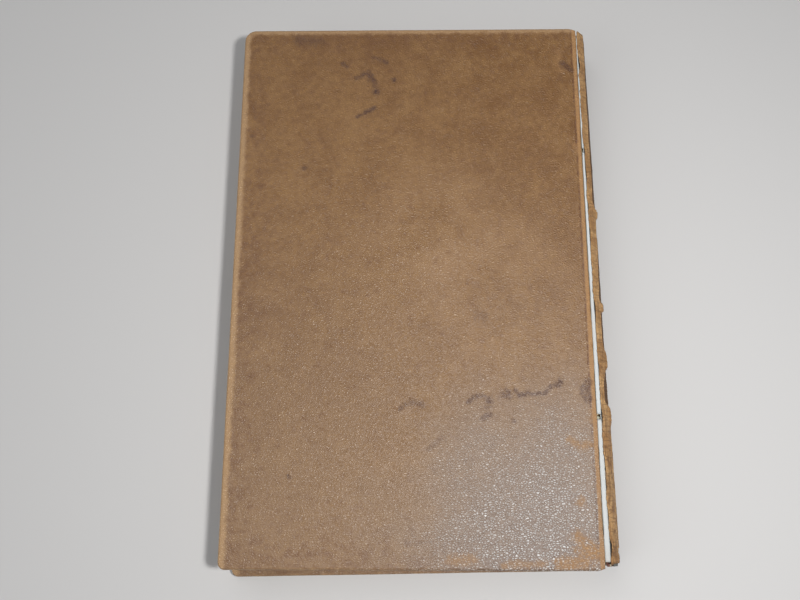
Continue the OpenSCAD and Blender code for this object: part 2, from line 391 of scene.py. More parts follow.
def endband_material():
    """Silk of two faded colours, with dirt in it."""
    made, tree, shader, place = new_material("faded silk", 0.6)
    stripe = put(tree, "Attribute", attribute_name="stripe").outputs["Fac"]
    dirt = cloud(tree, place, 0.9, 4)
    colour = mixed(tree, stripe, (0.50, 0.42, 0.28), (0.24, 0.09, 0.07))
    colour = tinted(tree, colour, dirt, 0.6, (0.12, 0.09, 0.06))
    tree.links.new(colour, shader.inputs["Base Color"])
    bumped(tree, shader, cloud(tree, place, 9.0, 2), 0.3, 0.00005)
    return made


faded_silk = endband_material()
for node in ("headband", "tailband"):
    low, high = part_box(node)
    piece = endband(node + "_wrapped", (low.y + high.y) / 2)
    piece.data.materials.append(faded_silk)
    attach(piece, "text_block")
    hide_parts(node)

# ---- The paper lining of the spine ----
# White paper pasted over the folds. In the split back joint its torn edge shows as a bright
# ragged strip, broken where the two sewing cords cross. It is one sheet drawn along the spine.
back_turn = math.radians(-0.45)
front_turn = math.radians(0.65)
back_gap = 0.35 * MM
front_gap = 0.4 * MM
front_slip = 0.63 * MM
spine_short = 0.2 * MM   # how far short of the cover's head the spine leather ends
cover_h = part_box("spine_leather")[1].y * 2 + 2 * spine_short
cover_w = hinge_x * 2
cover_t = 2.8 * MM

on_back = (Matrix.Translation((hinge_x - back_gap, cover_h / 2, book_t))
           @ Matrix.Rotation(back_turn, 4, "Z") @ Matrix.Translation((0, -cover_h / 2, 0)))
on_front = (Matrix.Translation((hinge_x - front_gap, -cover_h / 2 - front_slip, 0))
            @ Matrix.Rotation(front_turn, 4, "Z") @ Matrix.Translation((0, cover_h / 2, 0))
            @ Matrix.Diagonal((1, 1, -1, 1)))


def cover_edge_x(y):
    """Where the back cover's spine edge lies at height y of the page."""
    return hinge_x - back_gap + math.sin(back_turn) * (cover_h / 2 - y)


def beside_cord(y):
    """Distance along Y from the nearer sewing cord."""
    return min(abs(y - cord_y), abs(y + cord_y))


def ragged(y, seed, *scales):
    """Sums of noise along Y, from about -1 to 1; scales are in features per metre."""
    return sum(noise.noise(Vector((y * scale, seed * 7.3, index))) / (index + 1)
               for index, scale in enumerate(scales))


def drawn_sheet(bm, points, stations, move):
    """A chain of points in X and Z, extruded along Y through the stations."""
    row = [bm.verts.new((x, stations[0], z)) for x, z in points]
    edges = [bm.edges.new(pair) for pair in zip(row, row[1:])]
    sheet_faces = []
    for here, there in zip(stations, stations[1:]):
        verts, edges, faces = extruded(bm, edges)
        bmesh.ops.translate(bm, verts=verts, vec=(0, there - here, 0))
        sheet_faces += faces
    for vert in bm.verts:
        vert.co = move(vert.co)
    bmesh.ops.recalc_face_normals(bm, faces=sheet_faces)


def thickened(piece, thickness, pared=None):
    """Gives a skin its thickness on its inner side, thinner where the layer of that name says so."""
    wall = piece.modifiers.new("thickness", "SOLIDIFY")
    wall.thickness = thickness
    wall.offset = -1
    if pared:
        wall.vertex_group = piece.vertex_groups.new(name=pared).name
    return piece


def spine_lining():
    """A torn strip in the split, a web down beside the back board, and the sheet round the folds."""
    lining_r = fold_r + 0.13 * MM
    bm = bmesh.new()
    strip_z = book_t - 0.62 * MM
    strip = [(0, strip_z), (0.33, strip_z + 0.05 * MM), (0.66, strip_z + 0.03 * MM), (1, strip_z - 0.04 * MM)]
    web_x = hinge_x + 0.12 * MM
    first_angle = math.acos((hinge_x + 0.3 * MM - spine_x) / lining_r)
    below = [(web_x, book_t - 1.2 * MM)]
    steps = 22
    for step in range(steps + 1):
        angle = first_angle * (1 - 2 * step / steps)
        below.append((spine_x + lining_r * math.cos(angle), mid_z + lining_r * math.sin(angle)))
    flat = [(hinge_x - (1 - share) * MM, z) for share, z in strip] + below
    count = 240
    half = page_h / 2
    stations = [-half + 2 * half * step / count for step in range(count + 1)]

    def move(co):
        co = co.copy()
        y = co.y
        if co.x < hinge_x + 0.01 * MM:
            share = 1 - (hinge_x - co.x) / MM
            left = cover_edge_x(y) + 0.12 * MM + 0.1 * MM * ragged(y, 3, 260, 900)
            right = hinge_x + 0.06 * MM + 0.06 * MM * ragged(y, 5, 300, 800)
            gap = beside_cord(y) / MM
            co.x = left + (right - left) * share
            co.z += 0.10 * MM * ragged(y + share, 8, 150, 700)
            if gap < 1.1:
                co.z -= 0.5 * MM * (1 - gap / 1.1) ** 0.4
        return co

    drawn_sheet(bm, flat, stations, move)
    torn = [face for face in bm.faces if beside_cord(face.calc_center_median().y) < 0.72 * MM
            and face.calc_center_median().x < hinge_x + 0.2 * MM]
    bmesh.ops.delete(bm, geom=torn, context="FACES")
    if sum(face.normal.x for face in bm.faces) < 0:
        bmesh.ops.reverse_faces(bm, faces=bm.faces[:])
    return thickened(finish_mesh("spine_lining_sheet", bm), 0.2 * MM)


lining_paper = paper_material("lining paper", (0.60, 0.64, 0.65), (0.52, 0.52, 0.50), 0.0)
lining = spine_lining()
lining.data.materials.append(lining_paper)
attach(lining, "text_block")
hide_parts("spine_lining")

# ---- The boards ----
# Pasteboard: sheets of waste paper pasted into a stiff board. Its layers show only at the bare
# spine edge, as thin grey and brown bands. The card under the spine leather is a finer grey.


def board_material(name, light, dark, layers):
    """Fluffy layers of pulp, lighter and darker by turns."""
    made, tree, shader, place = new_material(name, 0.9)
    shader.inputs["Specular IOR Level"].default_value = 0.2
    split = put(tree, "SeparateXYZ", {"Vector": place}).outputs
    bent = maths(tree, "ADD", split["Z"], maths(tree, "MULTIPLY", cloud(tree, place, 0.3), 0.25))
    layer = maths(tree, "SINE", maths(tree, "MULTIPLY", bent, layers))
    fluff = cloud(tree, place, 1.8, 5, 0.7)
    share = maths(tree, "MULTIPLY", maths(tree, "ADD", maths(tree, "MULTIPLY", layer, 0.25), 0.5), fluff)
    tree.links.new(mixed(tree, share, dark, light), shader.inputs["Base Color"])
    bumped(tree, shader, share, 0.7, 0.00025)
    return made


pasteboard = board_material("pasteboard", (0.50, 0.40, 0.27), (0.20, 0.15, 0.09), 24.0)
dress("back_board", pasteboard)
dress("front_board", pasteboard)
dress("spine_stiffener", board_material("grey card", (0.36, 0.37, 0.35), (0.14, 0.14, 0.13), 30.0))

# ---- The leather of the covers ----
# Thin tan calf pasted over the board, wrapped round its head, tail and fore-edge and turned in.
# The edges are rounded and rubbed pale, partly a painted highlight, and along the spine the leather ends in a
# worn tear.
# Each is a skin with real thickness, raised from a grid that is denser towards the edges.
leather_t = 0.58 * MM
turn_in_t = 0.3 * MM
turn_in_w = 12 * MM
head_corner_r = 4 * MM
tail_corner_r = 2.25 * MM
edge_r = 0.75 * MM
least_corner_r = 0.15 * MM
# The strips beside the tear: one is worn thin, and the wider one is pulled in at both its ends
worn_w = 0.9 * MM
pulled_w = 2.4 * MM
pulled_h = 6 * MM
pulled_in = 0.8 * MM


def crowd(share, power):
    """Moves evenly spread values from -1 to 1 towards both ends."""
    return math.copysign(1 - (1 - abs(share)) ** power, share)


def inset_corner(y, inset):
    """Radius and middle of the fore-edge corner on the side of y, in an outline set in by inset."""
    radius = max((head_corner_r if y > 0 else tail_corner_r) - inset, least_corner_r)
    return radius, inset + radius - cover_w, cover_h / 2 - inset - radius


def to_border(x, y):
    """Distance inside a cover's rounded outline; the spine edge doesn't count."""
    corner_r = inset_corner(y, 0)[0]
    dx = x + cover_w
    dy = cover_h / 2 - abs(y)
    if dx < corner_r and dy < corner_r:
        return corner_r - math.hypot(corner_r - dx, corner_r - dy)
    return min(dx, dy)


def cover_skin(name, place, seed, tear):
    """The outer face, the edges and the turn-ins of one cover; tear wears and pulls its spine edge."""
    bm = bmesh.new()
    share = bm.verts.layers.deform.verify()
    bmesh.ops.create_grid(bm, x_segments=150, y_segments=220, size=1)
    for vert in bm.verts:
        x = (crowd(vert.co.x, 1.35) - 1) / 2 * cover_w
        y = crowd(vert.co.y, 1.35) * cover_h / 2
        corner_r, middle_x, middle_y = inset_corner(y, 0)
        past_x, past_y = middle_x - x, abs(y) - middle_y
        if past_x > 0 and past_y > 0:
            shrink = max(past_x, past_y) / math.hypot(past_x, past_y)
            x = middle_x - past_x * shrink
            y = math.copysign(middle_y + past_y * shrink, y)
        vert.co = (x, y, 0)
    faces = bm.faces[:]
    rim = [edge for edge in bm.edges if edge.is_boundary and min(v.co.x for v in edge.verts) < -1e-6]
    # Down over the edge, round it and in over the turn-in
    set_in = 0.0
    for level, inward in ((-cover_t + 0.35 * MM, 0), (-cover_t + 0.1 * MM, 0.1 * MM),
                          (-cover_t, 0.35 * MM), (-cover_t, turn_in_w * 0.5), (-cover_t, turn_in_w)):
        verts, rim, fresh = extruded(bm, rim)
        faces += fresh
        for vert in verts:
            x, y = vert.co.x, abs(vert.co.y)
            old_r, old_x, old_y = inset_corner(vert.co.y, set_in)
            new_r, new_x, new_y = inset_corner(vert.co.y, inward)
            x = new_x + (x - old_x) * new_r / old_r if x < old_x else x * new_x / old_x
            y = new_y + (y - old_y) * new_r / old_r if y > old_y else y * new_y / old_y
            vert.co = (x, math.copysign(y, vert.co.y), level)
        set_in = inward
    for vert in bm.verts:
        x, y, z = vert.co
        if z > -1e-7:
            inside = max(to_border(x, y), 0)
            if inside < edge_r:
                z -= edge_r - math.sqrt(edge_r ** 2 - (edge_r - inside) ** 2)
            swell = noise.noise(Vector((x * 28, y * 28, seed)))
            swell += 0.5 * noise.noise(Vector((x * 90, y * 90, seed)))
            z -= 0.06 * MM * (1 + swell) * min(1, inside / (4 * MM))
            if x > -worn_w and tear:
                worn = 1 + x / worn_w
                z -= worn ** 2 * 0.22 * MM * (0.7 + ragged(y, seed + 2, 120, 500))
                x -= worn * 0.22 * MM * (0.55 + ragged(y, seed, 90, 420, 1300))
        if tear and x > -pulled_w:
            near_end = max(0.0, 1 - (cover_h / 2 - abs(y)) / pulled_h)
            y -= math.copysign(pulled_in * near_end * (1 + x / pulled_w) ** 2, y)
        dent = noise.noise(Vector((y * 60, x * 60, seed + 9)))
        if x < -cover_w + 1.5 * MM:
            x += 0.04 * MM * (1 + dent)
        if abs(y) > cover_h / 2 - 1.5 * MM:
            y -= math.copysign(0.04 * MM * (1 + dent), y)
        vert.co = (x, y, z)
        vert[share][0] = turn_in_t / leather_t if z < -cover_t + 0.15 * MM else 1.0
    bmesh.ops.transform(bm, matrix=place, verts=bm.verts[:])
    bmesh.ops.recalc_face_normals(bm, faces=faces)
    if sum(face.normal.z for face in faces[:400]) * place.determinant() < 0:
        bmesh.ops.reverse_faces(bm, faces=faces)
    return thickened(finish_mesh(name, bm), leather_t, "full thickness")


def grain_group():
    """Calf grain: small domed cells with creases between them, drawn out sideways, and fine hair pores."""
    takes = [("Vector", "Vector", None), ("Cell", "Float", 0.9), ("Drawn Out", "Float", 1.0)]
    tree, takes, gives = node_group("leather grain", takes, [("Height", "Float"), ("Crease", "Float")])
    place = takes["Vector"]
    narrow = maths(tree, "DIVIDE", 1.0, takes["Drawn Out"])
    squeeze = put(tree, "CombineXYZ", {"X": narrow, "Y": 1.0, "Z": 1.0}).outputs[0]
    drawn = put(tree, "VectorMath", {0: place, 1: squeeze}, operation="MULTIPLY").outputs[0]
    wander = put(tree, "TexNoise", {"Vector": place, "Scale": 0.7, "Detail": 3.0}).outputs["Color"]
    wander = put(tree, "VectorMath", {0: wander, 1: (0.9, 0.9, 0.9)}, operation="MULTIPLY").outputs[0]
    bent = put(tree, "VectorMath", {0: drawn, 1: wander}, operation="ADD").outputs[0]
    sockets = {"Vector": bent, "Scale": maths(tree, "DIVIDE", 1.0, takes["Cell"])}
    near = put(tree, "TexVoronoi", sockets, feature="DISTANCE_TO_EDGE").outputs["Distance"]
    dome = between(tree, near, 0.0, 0.5)
    pores = cloud(tree, place, 3.2, 4, 0.6)
    height = maths(tree, "ADD", maths(tree, "MULTIPLY", dome, 0.8), maths(tree, "MULTIPLY", pores, 0.5))
    tree.links.new(height, gives["Height"])
    tree.links.new(maths(tree, "SUBTRACT", 1.0, dome), gives["Crease"])
    return tree


def stroke_group():
    """A soft mark along a straight stretch; Steps is the stretch over its own length squared."""
    takes = [("Vector", "Vector", None), ("From", "Vector", None), ("Stretch", "Vector", None),
             ("Steps", "Vector", None), ("Per Width", "Float", 1.0), ("Uneven", "Float", 0.0),
             ("Strength", "Float", 1.0)]
    tree, takes, gives = node_group("old mark", takes, [("Mask", "Float")])
    start = put(tree, "VectorMath", {0: takes["Vector"], 1: takes["From"]}, operation="SUBTRACT").outputs[0]
    share = put(tree, "VectorMath", {0: start, 1: takes["Steps"]}, operation="DOT_PRODUCT").outputs["Value"]
    share = maths(tree, "ADD", share, 0.0, clamp=True)
    foot = put(tree, "VectorMath", {0: takes["Stretch"], "Scale": share}, operation="SCALE").outputs[0]
    apart = put(tree, "VectorMath", {0: start, 1: foot}, operation="DISTANCE").outputs["Value"]
    reach = maths(tree, "MULTIPLY_ADD", apart, takes["Per Width"], takes["Uneven"])
    sockets = {"Value": reach, "From Min": 0.1, "From Max": 1.5, "To Min": takes["Strength"], "To Max": 0.0}
    mask = put(tree, "MapRange", sockets, interpolation_type="SMOOTHSTEP").outputs["Result"]
    tree.links.new(mask, gives["Mask"])
    return tree


def all_marks(tree, place, strokes):
    """The strongest of many soft marks at each spot, broken up by one uneven noise."""
    flat = put(tree, "VectorMath", {0: place, 1: (1, 1, 0)}, operation="MULTIPLY").outputs[0]
    uneven = maths(tree, "MULTIPLY", maths(tree, "SUBTRACT", cloud(tree, flat, 0.6, 5, 0.7), 0.5), 3.4)
    total = 0.0
    for x0, y0, x1, y1, width, strength in strokes:
        stretch = Vector((x1 - x0, y1 - y0, 0))
        steps = stretch / stretch.length_squared
        mark = use(tree, old_mark, Vector=flat, From=(x0, y0, 0), Stretch=stretch, Steps=steps,
                   Per_Width=1 / width, Uneven=uneven, Strength=strength)
        total = maths(tree, "MAXIMUM", total, mark["Mask"])
    gaps = between(tree, cloud(tree, flat, 1.4, 3, 0.6), 0.34, 0.58)
    return maths(tree, "MULTIPLY", total, maths(tree, "ADD", maths(tree, "MULTIPLY", gaps, 0.6), 0.4))


leather_grain = grain_group()
old_mark = stroke_group()

# Old marks on the back cover: two ends in millimetres from the middle of its spine edge, then
# width and strength. They are smudges and drips that spell nothing.
ink_marks = [
    (-96.5, 86.6, -89.5, 86, 2.2, 0.55), (-81, 77.3, -79.4, 76, 0.8, 0.75),
    (-70.5, 79.5, -67.9, 78.8, 0.7, 0.6), (-67.9, 78.8, -65.9, 77.7, 0.9, 0.75),
    (-76.5, 71.4, -74.2, 72.8, 0.8, 0.75), (-74.2, 72.8, -72, 73.5, 0.9, 0.8),
    (-72, 73.5, -70.4, 70.6, 1.3, 0.85), (-70.4, 70.6, -69.4, 67.4, 1.0, 0.6),
    (-69.3, 66.8, -69.1, 66.4, 1.2, 1.0), (-75.8, 57, -72.8, 58.7, 0.8, 0.8),
    (-72.8, 58.7, -69.8, 60.3, 1.0, 0.85), (-63.4, 71.1, -63.1, 70.9, 0.8, 1.0),
    (-111.4, 50.2, -111.2, 50, 0.7, 0.7), (-93.1, 38.4, -92.9, 38.2, 0.8, 0.9),
    (-94.9, -63.2, -94.7, -63.4, 0.7, 0.8), (-5.3, 76.8, -3.6, 75.4, 1.3, 0.75),
    (-3.4, 75, -2.4, 74.2, 1.0, 0.7), (-60.9, -42.3, -59.2, -41.3, 0.9, 0.55),
    (-57.4, -40.3, -54.2, -41.1, 1.3, 0.5), (-39.8, -40.3, -38, -38.9, 0.9, 0.7),
    (-38, -38.9, -35.4, -38.3, 0.9, 0.75), (-35.4, -38.3, -33.6, -39, 0.8, 0.7),
    (-33.3, -39.4, -32.9, -40.4, 1.3, 0.85), (-34.4, -42.2, -32.2, -41.6, 0.7, 0.5),
    (-35.4, -45.3, -33, -44.3, 1.0, 0.65), (-28.6, -38, -27.3, -37.8, 1.7, 0.75),
    (-25.2, -36.4, -23.8, -38.3, 0.8, 0.8), (-23.8, -38.3, -21.4, -37.5, 1.0, 0.85),
    (-21.4, -37.5, -19.2, -38, 0.7, 0.8), (-19.2, -38, -15.7, -37.5, 0.7, 0.8),
    (-15.7, -37.5, -13.9, -35.4, 0.7, 0.75), (-13.9, -35.4, -12, -34.9, 0.8, 0.8),
    (-12, -34.9, -10.8, -34.1, 1.2, 0.9), (-52.3, -54.7, -48, -51.4, 0.9, 0.4),
    (-25.9, -46.3, -25.6, -46.4, 0.7, 0.7), (-2, -33.1, -4, -35.4, 0.8, 0.7),
    (-4, -35.4, -4.2, -37.8, 0.8, 0.75), (-4.2, -37.8, -2.6, -40.3, 0.8, 0.75),
    (-1.7, -34, -2.8, -36.4, 0.9, 0.7), (-2.8, -36.4, -1.9, -39.6, 0.9, 0.75),
    (-36.4, -12.2, -34.4, -12.8, 2.2, 0.35),
]
# Spots where the surface is rubbed down to orange tan, listed in the same way
bare_spots = [
    (-9, -51.9, -5.6, -53.9, 1.2, 0.7), (-5.6, -53.9, -2, -53.4, 1.3, 0.7),
    (-6.3, -70.6, -6, -70.5, 1.6, 0.7), (-7.6, -80.6, -5.6, -84.4, 2.2, 0.85),
    (-5.6, -84.4, -2, -85.4, 3.2, 0.95), (-5.4, -87.6, -12.8, -88.6, 2.4, 0.85),
    (-18, -88.6, -30, -88.8, 1.3, 0.6), (-39, -87, -46, -87.6, 1.6, 0.6),
    (-6.6, 81.4, -6, 74.6, 1.6, 0.5), (-2.2, 46, -1.6, 43.8, 1.0, 0.8),
    (-1.4, -43, -1.2, -46.6, 1.0, 0.6),
]


def calf_material(name, place_on, marks, spots, pale_joint, sheen_strength):
    """Mottled calf; place_on is the cover's own placing, so the wear follows its edges.

    pale_joint says how far its joint is rubbed, and the last argument how strong the painted sheen is towards
    its tail.
    """
    made, tree, shader, place = new_material(name, 0.5)
    shader.inputs["Specular IOR Level"].default_value = 0.5
    turn = place_on.to_euler().z
    origin = place_on.translation / MM
    shifted = put(tree, "VectorMath", {0: place, 1: origin}, operation="SUBTRACT").outputs[0]
    local = put(tree, "Mapping", {"Vector": shifted, "Rotation": (0, 0, -turn)}).outputs["Vector"]
    split = put(tree, "SeparateXYZ", {"Vector": local}).outputs
    grain = use(tree, leather_grain, Vector=local, Cell=0.56, Drawn_Out=1.6)

    broad = cloud(tree, local, 0.016, 3, 0.5, 0.4)
    blotch = cloud(tree, local, 0.11, 6, 0.68, 0.5)
    fleck = cloud(tree, local, 0.55, 5, 0.7)
    depth = maths(tree, "ADD", maths(tree, "MULTIPLY", broad, 0.25), maths(tree, "MULTIPLY", blotch, 0.40))
    depth = maths(tree, "ADD", depth, maths(tree, "MULTIPLY", fleck, 0.36))
    colour = mixed(tree, between(tree, depth, 0.40, 0.62), (0.196, 0.091, 0.023), (0.312, 0.169, 0.057))

    # Painted sheen and falloff of light: warmer and darker towards the head, greyer and paler towards the
    # tail
    to_tail = between(tree, split["Y"], 60.0, -85.0)
    colour = tinted(tree, colour, to_tail, 0.6, (0.36, 0.245, 0.15))
    # Painted light: a paler pool round the middle of the cover, broken up by noise
    middle = put(tree, "VectorMath", {0: local, 1: (-46, 4, 0)}, operation="DISTANCE").outputs["Value"]
    painted_pool = falling(tree, middle, 4.0, 50.0)
    painted_pool = maths(tree, "MULTIPLY", painted_pool, between(tree, cloud(tree, local, 0.05, 5, 0.6), 0.35, 0.65))
    colour = tinted(tree, colour, painted_pool, 0.55, (0.42, 0.26, 0.135))

    # Dark reddish mottling, thickest just inside the fore-edge and along the head
    fore = maths(tree, "ADD", split["X"], cover_w / MM)
    end = maths(tree, "SUBTRACT", cover_h / MM / 2, maths(tree, "ABSOLUTE", split["Y"]))
    border = maths(tree, "MINIMUM", fore, end)
    near_edge = falling(tree, border, 2.5, 15.0)
    mottle = cloud(tree, local, 0.30, 6, 0.75, 0.3)
    patch = maths(tree, "ADD", mottle, maths(tree, "MULTIPLY", near_edge, 0.10))
    patch = between(tree, patch, 0.50, 0.76)
    colour = tinted(tree, colour, patch, 0.55, (0.135, 0.055, 0.024))
    speck = between(tree, cloud(tree, local, 1.5, 3, 0.6), 0.60, 0.74)
    colour = tinted(tree, colour, speck, 0.35, (0.12, 0.05, 0.025))
    worn = between(tree, cloud(tree, local, 0.28, 5, 0.65, 0.8), 0.60, 0.74)
    colour = tinted(tree, colour, worn, 0.25, (0.50, 0.29, 0.125))

    # Rubbed pale at the edges, partly wear and partly a painted highlight on the rounded edge, and scuffed in
    # fine slanting scratches
    tail_end = maths(tree, "ADD", end, maths(tree, "MULTIPLY", between(tree, split["Y"], -60.0, -80.0), 1.6))
    bare_edge = maths(tree, "MINIMUM", maths(tree, "SUBTRACT", fore, 0.5), tail_end)
    fray = maths(tree, "MULTIPLY", cloud(tree, local, 0.35, 5, 0.65), -3.0)
    rough_edge = maths(tree, "ADD", bare_edge, fray)
    rubbed = falling(tree, rough_edge, -0.6, 1.0)
    colour = tinted(tree, colour, rubbed, 0.85, (0.54, 0.345, 0.175))
    slant = put(tree, "Mapping", {"Vector": local, "Rotation": (0, 0, 0.5), "Scale": (0.10, 1.6, 1.0)})
    scratch = between(tree, cloud(tree, slant.outputs["Vector"], 0.9, 5, 0.75, 0.3), 0.58, 0.78)
    scratch = maths(tree, "MULTIPLY", scratch, maths(tree, "MULTIPLY", to_tail, 0.4))
    colour = mixed(tree, scratch, colour, (0.60, 0.47, 0.34))

    # Blind line beside the joint, and the paler strip outside it
    wander = maths(tree, "ADD", split["X"], maths(tree, "MULTIPLY", cloud(tree, local, 0.2, 3), 0.5))
    off_line = maths(tree, "ABSOLUTE", maths(tree, "ADD", wander, 1.55))
    line = falling(tree, off_line, 0.10, 0.40)
    line = maths(tree, "MULTIPLY", line, between(tree, cloud(tree, local, 0.9, 4, 0.7), 0.44, 0.58))
    strip = between(tree, wander, -1.35, -0.9)
    colour = tinted(tree, colour, strip, pale_joint, (0.53, 0.30, 0.125))
    colour = tinted(tree, colour, line, 0.8, (0.13, 0.045, 0.025))
    rust = maths(tree, "MULTIPLY", strip, between(tree, cloud(tree, local, 1.1, 4, 0.65), 0.52, 0.68))
    colour = tinted(tree, colour, rust, 0.6, (0.24, 0.10, 0.04))

    # Painted sheen: a greyer veil, painted glints on the raised grain and painted shade in the hollows of the
    # grain, spreading from the lower corner at the spine
    corner = put(tree, "VectorMath", {0: local, 1: (-16, -84, 0)}, operation="DISTANCE").outputs["Value"]
    corner = maths(tree, "ADD", corner, maths(tree, "MULTIPLY", cloud(tree, local, 0.045, 4, 0.6), 44.0))
    painted_sheen = falling(tree, corner, 22.0, 84.0)
    painted_sheen = maths(tree, "MULTIPLY", painted_sheen, sheen_strength)
    painted_sheen = maths(tree, "MULTIPLY", painted_sheen, maths(tree, "MULTIPLY_ADD", strip, -0.75, 1.0))
    colour = tinted(tree, colour, painted_sheen, 0.6, (0.205, 0.180, 0.160))
    sheen_glints = maths(tree, "MULTIPLY", between(tree, grain["Height"], 0.38, 0.62), painted_sheen)
    colour = tinted(tree, colour, sheen_glints, 0.85, (0.62, 0.62, 0.62))
    sheen_shade = maths(tree, "MULTIPLY", between(tree, grain["Height"], 0.40, 0.24), painted_sheen)
    colour = tinted(tree, colour, sheen_shade, 0.75, (0.11, 0.075, 0.06))

    bare = all_marks(tree, local, spots)
    colour = mixed(tree, bare, colour, (0.42, 0.235, 0.095))
    colour = mixed(tree, all_marks(tree, local, marks), colour, (0.050, 0.021, 0.021))
    colour = tinted(tree, colour, grain["Crease"], 0.36, (0.12, 0.055, 0.025))
    tree.links.new(colour, shader.inputs["Base Color"])

    gloss = maths(tree, "ADD", maths(tree, "MULTIPLY", blotch, 0.14), 0.22)
    gloss = maths(tree, "ADD", gloss, maths(tree, "MULTIPLY", grain["Crease"], 0.12))
    gloss = maths(tree, "ADD", gloss, maths(tree, "MULTIPLY", maths(tree, "MAXIMUM", strip, bare), 0.28))
    tree.links.new(gloss, shader.inputs["Roughness"])
    height = maths(tree, "SUBTRACT", grain["Height"], maths(tree, "MULTIPLY", line, 0.5))
    bumped(tree, shader, height, 1.0, 0.00012)
    return made


back_calf = calf_material("tan calf, back", on_back, ink_marks, bare_spots, 0.8, 1.0)
front_calf = calf_material("tan calf, front", on_front, [], [], 0.3, 0.3)
for side, place, finish, seed in (("back", on_back, back_calf, 1), ("front", on_front, front_calf, 2)):
    skin = cover_skin(side + "_cover_skin", place, seed, side == "back")
    skin.data.materials.append(finish)
    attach(skin, side + "_cover")
    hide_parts(side + "_cover_leather")

# ---- The endpapers and turning leaves ----
# Plain endpapers: one leaf of each pair is pasted down inside the cover over the turn-ins, the
# other is the free flyleaf. Three loose leaves lie behind it.


def paper_sheet(name, low, high, seed, place=None, wave=0.0):
    """One sheet between two corners of a box, a little frayed and wavy."""
    bm = bmesh.new()
    bmesh.ops.create_grid(bm, x_segments=44, y_segments=56, size=1)
    thick = high.z - low.z
    for vert in bm.verts:
        x = low.x + (vert.co.x + 1) / 2 * (high.x - low.x)
        y = low.y + (vert.co.y + 1) / 2 * (high.y - low.y)
        fray = 0.14 * MM * noise.noise(Vector((x * 200, y * 200, seed)))
        if vert.co.x < -0.99:
            x += abs(fray)
        if abs(vert.co.y) > 0.99:
            y -= math.copysign(abs(fray), vert.co.y)
        ripple = wave * noise.noise(Vector((x * 35, y * 30, seed)))
        vert.co = (x, y, low.z + thick * 0.92 + ripple)
    bmesh.ops.solidify(bm, geom=bm.faces[:], thickness=thick * 0.8)
    if place:
        bmesh.ops.transform(bm, matrix=place, verts=bm.verts[:])
    bmesh.ops.recalc_face_normals(bm, faces=bm.faces[:])
    return finish_mesh(name, bm)


endpaper = paper_material("plain endpaper", (0.64, 0.55, 0.40), (0.38, 0.25, 0.13), 0.8)
leaf_paper = paper_material("rag leaf", (0.68, 0.58, 0.42), (0.42, 0.29, 0.16), 0.6)
paste_inset = 3 * MM
paste_t = 0.15 * MM
for side, place, seed in (("back", on_back, 20), ("front", on_front, 30)):
    low = Vector((-cover_w + paste_inset, -cover_h / 2 + paste_inset, -cover_t - paste_t))
    high = Vector((-0.05 * MM, cover_h / 2 - paste_inset, -cover_t))
    paste = paper_sheet(side + "_pastedown_sheet", low, high, seed, place)
    paste.data.materials.append(endpaper)
    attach(paste, side + "_cover")
    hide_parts(side + "_pastedown")
    for number in range(4):
        node = side + ("_flyleaf" if number == 0 else f"_leaf_{number}")
        low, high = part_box(node)
        high.x = hinge_x - 1.2 * MM
        sheet = paper_sheet(node + "_sheet", low, high, seed + number + 1, wave=0.012 * MM)
        sheet.data.materials.append(endpaper if number == 0 else leaf_paper)
        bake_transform(sheet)
        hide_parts(node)

# ---- The spine leather ----
# The same calf over the rounded spine, rubbed to orange-brown and brittle. Its back edge is a
# torn line along the split; scraps of it lift, the tail cap is lost, and it is cracked across.
spine_top = math.acos((hinge_x + 0.1 * MM - spine_x) / spine_r)
spine_low_y, spine_high_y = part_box("spine_leather")[0].y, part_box("spine_leather")[1].y
# Its outer layer reaches from the split down to a torn edge on the side: each pair is a place
# along Y in millimetres and the share of the way up to the split where the layer ends
layer_edge = [
    (90, 0.60), (75, 0.66), (28, 0.72), (25, 0.70), (24, 0.46), (21.5, 0.43), (20.5, 0.56), (10, 0.58),
    (-4, 0.70), (-7.2, 0.72), (-8, 0.52), (-10.5, 0.48), (-11.5, 0.72), (-22, 0.66), (-24, 0.54),
    (-29, 0.49), (-30, 0.60), (-33, 0.76), (-40, 0.78), (-41.5, 0.50), (-46, 0.42), (-50, 0.46),
    (-70, 0.38), (-90, 0.42),
]
# Scraps of that layer that lift from the side: place and reach along Y
flaps = [(23.8, 2.2), (-9.3, 1.7), (-26.8, 3.2), (-44, 2.8)]
# Bites out of the edge along the split: place along Y, reach along Y and depth
bites = [(76.4, 1.4, 0.6), (45, 1.6, 0.4), (24.3, 1.6, 0.3), (-9.2, 2.0, 0.3), (-45, 2.0, 0.5),
         (-66, 3.0, 0.4), (-84, 2.4, 0.5)]
# A hole worn through near the tail: place along Y, height, and reach both ways
hole_y, hole_z, hole_along, hole_up = -85.2, 13.2, 1.1, 0.75
layer_t = 0.46 * MM
layer_curl = 0.16 * MM
flap_lift = 0.5 * MM
spine_skin_t = 0.35 * MM


def layer_end(y):
    """Share of the way up to the split where the outer layer ends."""
    for (above, first), (below, last) in zip(layer_edge, layer_edge[1:]):
        if y / MM >= below:
            part = min(1.0, max(0.0, (above - y / MM) / (above - below)))
            return first + (last - first) * part
    return layer_edge[-1][1]


